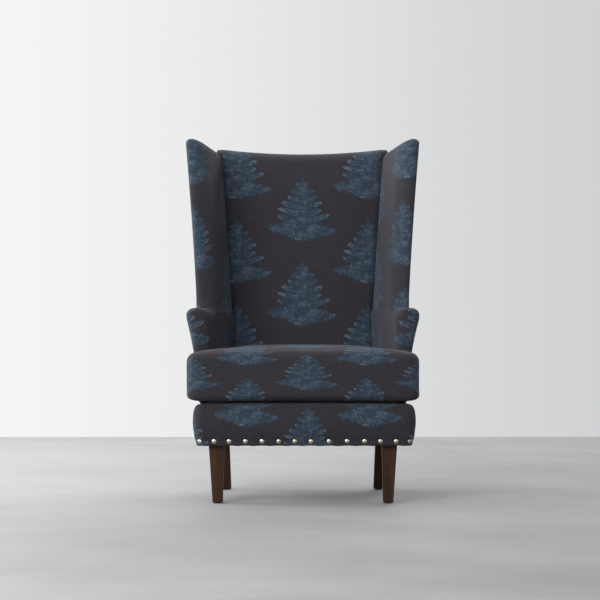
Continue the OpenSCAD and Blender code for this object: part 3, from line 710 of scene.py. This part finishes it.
def slab(name, side, grid, inner, outer, roundings, crown, u_tip, v_tip, replaced, seed):
    """roundings are, for the inner and the outer face, (radius, power) at the front and at the
    top, and ridge is how far out of the slab's thickness the edge runs. u_tip places the print:
    how far in from the edge the first trees stand at z = 0.80, how much that grows per metre of
    height, and how far in the next column of trees follows. column_gap is where the first
    column of trees ends."""
    rows, columns = len(grid), len(grid[0])
    ridge = roundings["ridge"]
    points, cloth = [], []
    for facing in (1, -1):
        for r, row in enumerate(grid):
            run = 0.0
            before = None
            for y, z, depth, below in row:
                x_in, x_out = inner(y, z), outer(y, z)
                edge, top = roundings["inner" if facing > 0 else "outer"]
                full = edge_curve(depth, *edge) * edge_curve(below, *top)
                share = ridge if facing > 0 else 1 - ridge
                half = (x_out - x_in) * share * full
                pillow = crown * min(1.0, depth / 0.09) * min(1.0, below / 0.09) \
                    * smooth_step(row[-1][2] - depth, 0.0, 0.12) \
                    * min(1.0, (z - grid[0][0][1]) / 0.12) ** 2
                pillow += 0.0011 * noise.noise(Vector((y * 11, z * 8, seed))) * full
                if facing < 0:
                    pillow = -0.0022 * min(smooth_step(depth, 0.030, 0.045),
                                           smooth_step(below, 0.022, 0.036))
                x = mix(x_in, x_out, ridge) - facing * (half + pillow)
                here = Vector((x * side, y, z))
                if before is not None:
                    run += (here - before).length
                before = here
                points.append(here)
                cloth.append((facing * run * -side, z))
    count = rows * columns
    for c in range(columns):
        for half_first in (0, count):
            high = 0.0
            for r in range(1, rows):
                here, under = half_first + r * columns + c, half_first + (r - 1) * columns + c
                step = (points[here] - points[under])
                high = cloth[under][1] + math.hypot(step.z, step.x if r > rows - 9 else 0.0)
                cloth[here] = (cloth[here][0], high)
    faces = grid_faces(rows, columns) + grid_faces(rows, columns, count)
    rim = list(range(columns)) + [r * columns + columns - 1 for r in range(1, rows)]
    faces += [(a, b, count + b, count + a) for a, b in zip(rim, rim[1:])]
    motif = []
    for u, v in cloth:
        across = -u * side - u_tip[0] - u_tip[1] * (v - 0.80)
        near = across < column_gap
        p, q = repeats(across, v, 0.0 if near else u_tip[2],
                       v_tip if near else v_tip + row_height / 2)
        shown = smooth_step(column_gap - across, 0.002, 0.012) if near \
            else smooth_step(across - u_tip[2], -column_gap, -0.108)
        motif.append((p, q, shown))
    made = add_piece(name, points, faces, fir_print, "printed_fabric", replaced, cloth=cloth,
                     motif=motif, weld=2e-5)


def wing_front_y(z):
    line = mix(-0.145, -0.002, (z - 0.62) / 0.52) if z < 1.14 \
        else mix(-0.002, 0.010, (z - 1.14) / 0.036)
    return line - 0.030 * math.exp(-max(0.0, z - 0.60) / 0.030)


def slab_rear_y(z):
    return back_out_y(z) - 0.004


arm_roundings = {"inner": ((0.034, 2.3), (0.034, 2.3)), "outer": ((0.026, 2.4), (0.030, 2.3)),
                 "ridge": 0.55}
wing_roundings = {"inner": ((0.055, 2.0), (0.040, 2.0)), "outer": ((0.019, 2.1), (0.016, 2.1)),
                  "ridge": 0.68}
arm_foot, arm_top_front, arm_top_rear = 0.312, 0.621, 0.612
wing_foot, wing_top_front, wing_top_rear = 0.556, 1.1835, 1.156
arm_print_z, left_wing_print_z, right_wing_print_z = 0.712, 0.963, 0.984
for side, word in ((-1, "left"), (1, "right")):
    arm_grid = slab_grid(lambda z: -0.262, slab_rear_y, arm_foot, arm_top_front, arm_top_rear,
                         *arm_roundings["inner"], 0.013, 34, 30)
    slab(word + "_arm", side, arm_grid, arm_in_x, arm_out_x, arm_roundings,
         0.0015, (-0.063 + 0.005 * side, 0.0, 0.364 - 0.010 * side), arm_print_z,
         [word + "_arm_cover", word + "_arm_pad"], 10 + side)
    wing_grid = slab_grid(wing_front_y, slab_rear_y, wing_foot, wing_top_front, wing_top_rear,
                          *wing_roundings["inner"], 0.016, 30, 60)
    slab(word + "_wing", side, wing_grid, wing_in_x, wing_out_x, wing_roundings,
         0.002, (-0.009 + 0.018 * side, 0.085, 0.322 - 0.012 * side),
         right_wing_print_z if side > 0 else left_wing_print_z,
         [word + "_wing_cover", word + "_wing_pad"], 20 + side)

# ---- Outside panels of arms and wings ----
# Flat panels of the same fabric close the outer faces. They are turned under at the edges and
# blind-stitched a finger's width behind the rounded fronts.


def outside_panel(name, side, front, rear, z_low, z_front, z_rear, outer, replaced, u_tip,
                  v_tip):
    rise, roll, tucked, thick = 0.0024, 0.005, 0.0020, 0.003
    rows, columns = 44, 34
    points, cloth = [], []
    for b in [0, 0.004, 0.012] + along(rows - 6, 0.025, 0.975) + [0.988, 0.996, 1]:
        z_f, z_r = z_low + b * (z_front - z_low), z_low + b * (z_rear - z_low)
        y_f, y_r = front(z_f), rear(z_r)
        for a in [0, 0.008, 0.02] + along(columns - 6, 0.04, 0.96) + [0.98, 0.992, 1]:
            y, z = mix(y_f, y_r, a), mix(z_f, z_r, a)
            rim = min(a * (y_r - y_f), (1 - a) * (y_r - y_f), b * (z_front - z_low),
                      (1 - b) * (z_front - z_low))
            lift = -tucked + (rise + tucked) * edge_curve(rim, roll, 2.0)
            lift += 0.0008 * noise.noise(Vector((y * 10, z * 8, 30 + side)))
            points.append(Vector((side * (outer(y, z) + lift), y, z)))
            cloth.append((-y * side, z))
    points += [p - Vector((side * thick, 0, 0)) for p in points]
    cloth += cloth
    return add_piece(name, points, panel_faces(rows, columns), fir_print, "printed_fabric",
                     replaced, cloth=cloth,
                     motif=[repeats(u, v, u_tip, v_tip) for u, v in cloth])


def panel_rear_y(z):
    return back_out_y(z) - 0.006


arm_panel_low, arm_panel_high = 0.3215, 0.592
wing_panel_low, wing_panel_front, wing_panel_rear = 0.6260, 1.148, 1.128
for side, word in ((-1, "left"), (1, "right")):
    arm_panel = outside_panel(word + "_outside_arm", side, lambda z: -0.240, panel_rear_y,
                              arm_panel_low, arm_panel_high, arm_panel_high,
                              arm_out_x, [word + "_outside_arm_cover"], 0.02, 0.60)
    wing_panel = outside_panel(word + "_outside_wing", side, lambda z: wing_front_y(z) + 0.030,
                               panel_rear_y, wing_panel_low, wing_panel_front, wing_panel_rear,
                               wing_out_x, [word + "_outside_wing_cover"], 0.02, 1.10)

# ---- Webbed and padded back ----
# Jute webbing is woven across the back frame, foam and wadding lie over it, and the inside back
# cover is pulled tight and tucked away beside the wings, over a gently dipped top edge.
webbing_finish = woven_finish("jute_webbing", (0.22, 0.13, 0.07), (0.50, 0.36, 0.20), 0.0030,
                              depth=0.0008)


def rod_faces(rows, ways, first):
    """Faces of a solid rod of rings one after the other, closed at both ends."""
    last = first + (rows - 1) * ways
    return grid_faces(rows, ways, first, closed=True) + [
        tuple(first + i for i in range(ways)), tuple(last + i for i in reversed(range(ways)))]


def webbing():
    points, faces = [], []
    wide, thick, apart = 0.050, 0.0016, 0.11
    set_in, slack, weave = 0.0372, 0.0014, 0.0011
    section = ((0, 0), (0.12, -0.0003), (0.5, -0.0004), (0.88, -0.0003), (1, 0), (1, 1),
               (0.5, 1), (0, 1))
    straps = [("across", z) for z in (0.43, 0.54, 0.65, 0.76, 0.87, 0.98)]
    straps += [("up", x) for x in (-apart, 0.0, apart)]
    length = 0.0
    for way, place in straps:
        reach = 0.190 + (place - 0.43) * 0.02 if way == "across" else 0.0
        run = along(90, -reach, reach) if way == "across" else along(150, 0.350, 1.120)
        length += run[-1] - run[0]
        first = len(points)
        other = 1 if place * 100 % 22 < 11 else -1
        for t in run:
            for w, d in section:
                if way == "across":
                    x, z = t, place + w * wide
                    over = weave * math.cos(t / apart * math.pi) * other
                else:
                    x, z = place + (w - 0.5) * wide, t
                    over = -weave * math.cos((t - 0.455) / apart * math.pi)
                depth = thick * (d if d > 0 else 0) + (d if d < 0 else 0)
                y = back_out_y(z) - set_in - thick + depth - slack + over
                points.append((x, y, z))
        faces += rod_faces(len(run), len(section), first)
    made = add_piece("webbing_straps", points, faces, webbing_finish, "webbing",
                     ["back_webbing"])


webbing()


back_foot, back_top, back_dip = 0.326, 1.167, 0.019
wadding = 0.006


def back_profile(dip):
    """The inside back from its foot, up and over its top to the rear: (y, z, run of cloth).
    dip is how much lower the top edge is here."""
    top = back_top - dip
    radius = 0.034
    line = [(back_in_y(z), z) for z in along(56, back_foot, top - radius)]
    y0, z0 = line[-1]
    bend = [(y0 + radius * (1 - math.cos(a)) * 1.1 + radius * 0.21 * math.sin(a),
             z0 + radius * math.sin(a)) for a in along(9, 0, math.pi / 2)[1:]]
    y1 = bend[-1][0]
    y2 = back_out_y(top) - 0.010
    flat = [(mix(y1, y2, k), top - 0.002 * k) for k in along(8, 0, 1)[1:]]
    fall = [(back_out_y(top - 0.008) - 0.004, top - 0.010), (back_out_y(1.10) - 0.004, 1.10)]
    out, run = [], back_foot
    before = line[0]
    for p in line + bend + flat + fall:
        run += math.hypot(p[0] - before[0], p[1] - before[1])
        out.append((p[0], p[1], run))
        before = p
    return out


def inside_back():
    across = [-1.003, -1, -0.985, -0.965, -0.94, -0.91] + along(45, -0.87, 0.87) \
        + [0.91, 0.94, 0.965, 0.985, 1, 1.003]
    points, cloth = [], []
    rows = 0
    for a in across:
        profile = back_profile(back_dip * max(0.0, 1 - a * a))
        rows = len(profile)
        for y, z, run in profile:
            if z > 0.66:
                side_x = wing_in_x(y, z)
            elif z > 0.60:
                side_x = mix(arm_in_x(y), wing_in_x(y, z), (z - 0.60) / 0.06)
            else:
                side_x = arm_in_x(y)
            x = a * (side_x + wadding + 0.013 * smooth_step(z, 1.132, 1.158))
            tuck = 0.020 * max(0.0, (min(abs(a), 1.0) - 0.90) / 0.10) ** 2.2
            crown = 0.010 * max(0.0, 1 - abs(a) ** 3) * smooth_step(z, 0.33, 0.60) \
                * (1 - smooth_step(z, 1.02, 1.14))
            ripple = 0.0013 * noise.noise(Vector((x * 8, z * 6, 41.0)))
            ripple += 0.0006 * noise.noise(Vector((x * 26, z * 19, 43.0)))
            rear = smooth_step(y - back_in_y(z), 0.02, 0.05)
            z = min(z, 1.130) if abs(a) > 1 else z
            points.append((x, y + (tuck - crown + ripple) * (1 - rear), z - tuck * 0.2))
            cloth.append((x, run))
    faces = grid_faces(len(across), rows)
    made = add_piece("inside_back", points, faces, fir_print, "printed_fabric",
                     ["inside_back_cover", "back_foam"], cloth=cloth,
                     motif=[(*repeats(u, v, 0.0, 1.088, 0.2235, 0.294),
                             1 - smooth_step(v, 1.122, 1.136) * smooth_step(0.13 - abs(u), 0, 0.02))
                            for u, v in cloth])
    thick = made.modifiers.new("wadding", "SOLIDIFY")
    thick.thickness, thick.offset = wadding, -1.0
    subdivided(made)


inside_back()


def outside_back():
    """One flat panel from the foot of the chair to the top of the back."""
    corner = [(0.185, base_x(0.214))]
    corner += [(z, wing_out_x(back_out_y(z), z)) for z in (0.612, 1.148)]
    foot, top, inset = 0.1862, 1.1475, 0.0035
    rise, tucked, roll, thick = 0.0040, 0.0025, 0.007, 0.0025
    points, cloth = [], []
    columns = [-1, -0.994, -0.98, -0.96] + along(38, -0.93, 0.93) + [0.96, 0.98, 0.994, 1]
    rows = [0, 0.0018, 0.006, 0.014] + along(60, 0.022, 0.978) + [0.986, 0.994, 0.9982, 1]
    for b in rows:
        z = mix(foot, top, b)
        lower, upper = (corner[0], corner[1]) if z < corner[1][0] else (corner[1], corner[2])
        half = mix(lower[1], upper[1], (z - lower[0]) / (upper[0] - lower[0])) - inset
        for a in columns:
            rim = min((1 - abs(a)) * half, b * 0.96, (1 - b) * 0.96)
            lift = -tucked + (rise + 0.0005) * edge_curve(rim, roll, 2.0)
            lift += 0.0009 * noise.noise(Vector((a * 3, z * 6, 51.0)))
            points.append((a * half, back_out_y(z) + lift - 0.0015, z))
            cloth.append((-a * half, z))
    points += [(x, y - thick, z) for x, y, z in points]
    cloth += cloth
    made = add_piece("outside_back", points, panel_faces(len(rows), len(columns)), fir_print,
                     "printed_fabric", ["outside_back_cover"], cloth=cloth,
                     motif=[repeats(u, v, 0.0, 1.06) for u, v in cloth])


outside_back()

# ---- Dust cover, legs and glides ----
# Black cambric is stapled under the rails. The legs are tapered walnut-stained beech, the rear
# pair raked backwards, each bolted up through the corner; nylon glides are pinned underneath.
cambric = woven_finish("black_cambric", (0.012, 0.012, 0.013), (0.035, 0.034, 0.036), 0.0012)


def dust_cover():
    rows, columns = 90, 100
    legs, clear = [(0.275, -0.321, 0.0262), (0.267, 0.190, 0.0222)], 0.004
    points = []
    for thick in (0.0, 0.0008):
        for l in along(rows, -1, 1):
            y = mix(-0.352, 0.196, (l + 1) / 2)
            for k in along(columns, -1, 1):
                sag = 0.0035 * (1 - k ** 4) * (1 - l ** 4)
                sag += 0.0006 * noise.noise(Vector((k * 7, l * 7, 61.0)))
                points.append((k * (base_x(y) - 0.028), y, 0.1842 - sag + thick))
    count = rows * columns
    kept = []
    for face in grid_faces(rows, columns):
        x = sum(abs(points[i][0]) for i in face) / 4
        y = sum(points[i][1] for i in face) / 4
        if all(max(abs(x - lx), abs(y - ly)) > half + clear for lx, ly, half in legs):
            kept.append(face)
    edges = {}
    for face in kept:
        for a, b in zip(face, face[1:] + face[:1]):
            key = (min(a, b), max(a, b))
            edges[key] = edges.get(key, 0) + 1
    faces = kept + [tuple(count + i for i in reversed(face)) for face in kept]
    faces += [(a, b, count + b, count + a) for (a, b), used in edges.items() if used == 1]
    made = add_piece("cambric_cover", points, faces, cambric, "dust_cloth", ["dust_cover"])


dust_cover()


def walnut_finish():
    made, start, shader = finish_of("walnut_stain", 0.42, Coat_Roughness=0.3,
                                    Specular_IOR_Level=0.14)
    place = coordinates(start)
    bands = grain(start, place, 30.0, 5.0, 0.65, (1, 1, 0.07))
    pores = grain(start, place, 520.0, 2.0, 0.5, (1, 1, 0.035))
    wear = grain(start, place, 24.0, 4.0)
    tone = (bands * 0.8 + pores * 0.3).step(0.28, 0.82)
    stain = tone.blend((0.0110, 0.0044, 0.0018, 1), (0.044, 0.0185, 0.0062, 1))
    connect((wear.step(0.58, 0.75) * 0.25).blend(stain, (0.050, 0.0240, 0.0105, 1)), shader,
            "Base Color")
    connect(0.36 + pores * 0.16 + wear * 0.08, shader, "Roughness")
    connect(0.02 + bands * 0.06, shader, "Coat Weight")
    bumped(start, shader, pores * 0.6 + bands * 0.4, 0.0003, 0.5)
    return made


walnut = walnut_finish()


def softened(shape, edges, radius):
    bmesh.ops.bevel(shape, geom=edges, offset=radius, segments=3, profile=0.5, affect="EDGES")


def taken_from(shape):
    """The points and faces of a finished bmesh."""
    points = [v.co.copy() for v in shape.verts]
    faces = [tuple(v.index for v in f.verts) for f in shape.faces]
    shape.free()
    return points, faces


leg_foot, leg_top, leg_edge = 0.003, 0.185, 0.0022


def tapered_leg(name, side, low, high, replaced):
    """low and high are (x0, x1, y0, y1) of the foot and the top."""
    shape = bmesh.new()
    ends = []
    for (x0, x1, y0, y1), z in ((low, leg_foot), (high, leg_top)):
        ends.append([shape.verts.new((side * x, y, z))
                     for x, y in ((x0, y0), (x1, y0), (x1, y1), (x0, y1))])
    shape.faces.new(ends[0][::-1])
    shape.faces.new(ends[1])
    for i in range(4):
        shape.faces.new((ends[0][i], ends[0][(i + 1) % 4], ends[1][(i + 1) % 4], ends[1][i]))
    shape.normal_update()
    softened(shape, shape.edges[:], leg_edge)
    add_piece(name, *taken_from(shape), walnut, "walnut", replaced, smooth=False)


for side, word in ((-1, "left"), (1, "right")):
    tapered_leg("front_" + word + "_walnut_leg", side, (0.2545, 0.287, -0.344, -0.3115),
                (0.251, 0.299, -0.345, -0.297), ["front_" + word + "_leg"])
    tapered_leg("rear_" + word + "_walnut_leg", side, (0.242, 0.275, 0.215, 0.249),
                (0.248, 0.286, 0.170, 0.210), ["rear_" + word + "_leg"])


def nylon_finish():
    made, start, shader = finish_of("black_nylon", 0.5)
    scuffs = grain(start, coordinates(start), 300.0, 4.0)
    connect(scuffs.blend((0.012, 0.012, 0.013, 1), (0.04, 0.04, 0.042, 1)), shader, "Base Color")
    bumped(start, shader, scuffs, 0.0002)
    return made


dress(nylon_finish(), "glides")

# ---- Loose seat cushion ----
# A T-shaped foam block in a zipped cover, sewn without piping. The foam is crowned and fills the
# cover tightly, so the faces swell, the corners round over and the front edge rolls.
cushion_columns, cushion_rows, cushion_slope = 0.188, 0.156, 0.27
tip_x, tip_y, tip_z = 0.0125, 0.4075, 0.4895
cushion_front, ear_half = 0.3985, 0.3690


def stem_x(y):
    return arm_in_x(y) - 0.004


def rounded(corners):
    """A closed outline from (x, y, radius) corners."""
    out = []
    for i, (x, y, radius) in enumerate(corners):
        here = Vector((x, y))
        before = (Vector(corners[i - 1][:2]) - here).normalized()
        after = (Vector(corners[(i + 1) % len(corners)][:2]) - here).normalized()
        half = before.angle(after) / 2
        reach = radius / math.tan(half)
        centre = here + (before + after).normalized() * (radius / math.sin(half))
        first, last = here + before * reach - centre, here + after * reach - centre
        sweep = first.angle_signed(last)
        for k in along(7, 0, 1):
            turned = first.copy()
            turned.rotate(Matrix.Rotation(-sweep * k, 2))
            out.append(centre + turned)
    return out


def cushion_start(inset):
    half = 0.3695 - inset
    y_front, y_rear, y_ear = -0.400 + inset, 0.0955 - inset * 0.6, -0.264 - inset * 0.5
    right = [(half, y_front, 0.040), (half, y_ear, 0.020), (stem_x(y_ear) - inset, y_ear, 0.006),
             (stem_x(y_rear) - inset * 0.8, y_rear, 0.028)]
    left = [(-x, y, r) for x, y, r in reversed(right)]
    return rounded(right + left)


def only_mesh(source):
    """A mesh object's modifiers become its mesh."""
    bpy.context.view_layer.update()
    seen = source.evaluated_get(bpy.context.evaluated_depsgraph_get())
    mesh = bpy.data.meshes.new_from_object(seen)
    source.modifiers.clear()
    source.data = mesh


def seat_cushion():
    voxel, cap, settling = 0.008, 0.0090, 20
    outline = cushion_start(0.0085)
    count = len(outline)
    levels = [(0.3290, 0.010), (0.3320, 0.003), (0.339, 0.0), (0.455, 0.0), (0.466, 0.004),
              (0.474, 0.012)]
    points = []
    for z, inset in levels:
        for p in outline:
            shrink = Vector((1 - inset / 0.36, 1 - inset / 0.25))
            points.append((p.x * shrink.x, (p.y + 0.15) * shrink.y - 0.15, z))
    faces = grid_faces(len(levels), count, closed=True)
    faces.append(tuple(reversed(range(count))))
    faces.append(tuple((len(levels) - 1) * count + i for i in range(count)))
    mesh = bpy.data.meshes.new("cushion_start")
    mesh.from_pydata(points, [], faces)
    made = bpy.data.objects.new("seat_cushion_cover", mesh)
    bpy.context.collection.objects.link(made)
    even = made.modifiers.new("even", "REMESH")
    even.mode, even.voxel_size = "VOXEL", voxel
    only_mesh(made)
    for v in made.data.vertices:
        x, y, z = v.co
        k = min(1.0, abs(x) / 0.365)
        m = min(1.0, abs(y + 0.15) / 0.245)
        if z > 0.43:
            share = (z - 0.43) / 0.044
            v.co.z += share * (0.017 * (1 - k ** 2.4) * (1 - 0.35 * m ** 3))
        if z < 0.36:
            v.co.z += (0.36 - z) / 0.026 * 0.003 * (1 - k * k) * smooth_step(-y, 0.25, 0.40)
    rest = [v.co.copy() for v in made.data.vertices]
    filling = made.modifiers.new("filling", "CLOTH")
    for setting, value in (("quality", 6), ("mass", 0.35), ("tension_stiffness", 22),
                           ("compression_stiffness", 12), ("shear_stiffness", 8),
                           ("bending_stiffness", 0.6), ("use_pressure", True),
                           ("uniform_pressure_force", 4.0)):
        setattr(filling.settings, setting, value)
    filling.settings.effector_weights.gravity = 0
    filling.point_cache.frame_start, filling.point_cache.frame_end = 1, settling
    for frame_number in range(1, settling + 1):
        bpy.context.scene.frame_set(frame_number)
    only_mesh(made)
    bpy.context.scene.frame_set(1)
    moved = [v.co.copy() for v in made.data.vertices]
    for v, before, after in zip(made.data.vertices, rest, moved):
        step = after - before
        if step.length > cap:
            step *= cap / step.length
        place = before + step
        if abs(place.x) < 0.225 and place.y > 0.085 and abs(place.z - 0.409) < 0.030:
            place.y = min(place.y, 0.0957)
        ripple = Vector((place.x * 7, place.y * 7, place.z * 12))
        place += v.normal * (0.0016 * noise.noise(ripple)
                             + 0.0006 * noise.noise(ripple * 3.1))
        v.co = Vector((max(-0.3705, min(0.3705, place.x)), max(-0.4015, min(0.0965, place.y)),
                       max(0.3262, min(0.5040, place.z))))
    subdivided(made)
    only_mesh(made)
    widest = max(abs(v.co.x) for v in made.data.vertices)
    foremost = min(v.co.y for v in made.data.vertices)
    for v in made.data.vertices:
        v.co.y -= (foremost + cushion_front) * smooth_step(-v.co.y, 0.24, 0.36)
        ear = smooth_step(-v.co.y, 0.245, 0.285) * smooth_step(abs(v.co.x), 0.20, 0.355)
        v.co.x *= 1 + ear * (ear_half / widest - 1)
    made.data.update()
    cloth, motif = [], []
    for v in made.data.vertices:
        x, y, z = v.co
        turned = abs(v.normal.x) > 0.72
        u = x + math.copysign(y + 0.385, x) if turned else x
        upright = abs(v.normal.z) < 0.5
        cloth.append((u, z if upright or turned else z - y))
        across = (u - tip_x) / cushion_columns
        if abs(x) > 0.335 and y < -0.25:
            bend = smooth_step(abs(x), 0.335, 0.366)
            across = (x + math.copysign(bend * (y + 0.392), x) - tip_x) / cushion_columns
        down = (tip_z - z) / cushion_rows - (y + tip_y) / cushion_slope
        motif.append((across, down))
    lay_cloth(made.data, cloth, motif)
    for face in made.data.polygons:
        face.use_smooth = True
    made.data.materials.clear()
    made.data.materials.append(fir_print)
    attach(made, "seat_cushion")
    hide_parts("cushion_cover", "cushion_core")


seat_cushion()

# ---- Zip of the cushion cover ----
# A black coil zip is set into the middle of the rear boxing: two tapes, a double row of moulded
# teeth, and a metal slider with a pull tab, which starts at the left end.
zip_low, zip_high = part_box("cushion_zip")
slider_low, slider_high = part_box("zip_slider")
zip_z = (zip_low.z + zip_high.z) / 2


def tape_finish():
    made, start, shader = finish_of("black_zip_tape", 0.85, Sheen_Weight=0.1)
    place = coordinates(start)
    ribs = grain(start, place, 900.0, 1.0, 0.5, (0.1, 1, 1))
    connect(ribs.blend((0.010, 0.010, 0.012, 1), (0.035, 0.035, 0.040, 1)), shader, "Base Color")
    bumped(start, shader, ribs, 0.0002)
    return made


def zip_line():
    points, faces = [], []
    teeth, tooth_pitch = 160, 0.00252
    tape = ((0.0006, 0.0004), (0.0125, 0.0), (0.0130, -0.0005), (0.0125, -0.0008),
            (0.0006, -0.0006))
    run = along(120, zip_low.x, zip_high.x)
    for sense in (-1, 1):
        first = len(points)
        for x in run:
            for h, d in tape:
                points.append((x, zip_low.y + 0.0012 + d, zip_z + sense * h))
        faces += rod_faces(len(run), len(tape), first)
        for k in range(teeth):
            x = zip_low.x + 0.009 + (k + (0.5 if sense > 0 else 0.0)) * tooth_pitch
            first = len(points)
            for y in (0.0, 0.0016, 0.0020):
                small = 0.75 if y == 0.0020 else 1.0
                for a, b in ((-0.0009, -0.0004), (0.0009, -0.0004), (0.0009, 0.0024),
                             (-0.0009, 0.0024)):
                    points.append((x + a * small, zip_high.y - 0.0020 + y,
                                   zip_z + sense * (b * small)))
            faces += grid_faces(3, 4, first, closed=True)
            faces += [tuple(first + i for i in reversed(range(4))),
                      tuple(first + 8 + i for i in range(4))]
    add_piece("zip_tapes_and_teeth", points, faces, tape_finish(), "zip_tape", ["cushion_zip"],
              body="seat_cushion", smooth=False, weld=1e-7)


zip_line()
zip_metal = metal_finish("gunmetal_zip", (0.40, 0.40, 0.42), (0.16, 0.15, 0.15), 0.30)


def zip_pull():
    shape = bmesh.new()
    x = (slider_low.x + slider_high.x) / 2
    y = slider_low.y

    def block(centre, size, radius):
        made = bmesh.ops.create_cube(shape, size=1.0)["verts"]
        bmesh.ops.scale(shape, vec=size, verts=made)
        bmesh.ops.translate(shape, vec=centre, verts=made)
        softened(shape, list({e for v in made for e in v.link_edges}), radius)

    block((x, y + 0.0011, zip_z), (0.0138, 0.0022, 0.0098), 0.0008)
    block((x, y + 0.0029, zip_z), (0.0040, 0.0018, 0.0060), 0.0005)
    block((x - 0.0023, y + 0.0042, zip_z - 0.0115), (0.0014, 0.0011, 0.0280), 0.0004)
    block((x + 0.0023, y + 0.0042, zip_z - 0.0115), (0.0014, 0.0011, 0.0280), 0.0004)
    block((x, y + 0.0042, zip_z + 0.0017), (0.0058, 0.0012, 0.0022), 0.0004)
    block((x, y + 0.0042, zip_z - 0.0225), (0.0058, 0.0012, 0.0060), 0.0005)
    add_piece("zip_pull", *taken_from(shape), zip_metal, "zip_metal", ["zip_slider"],
              body="zip_slider", weld=1e-7)


zip_pull()
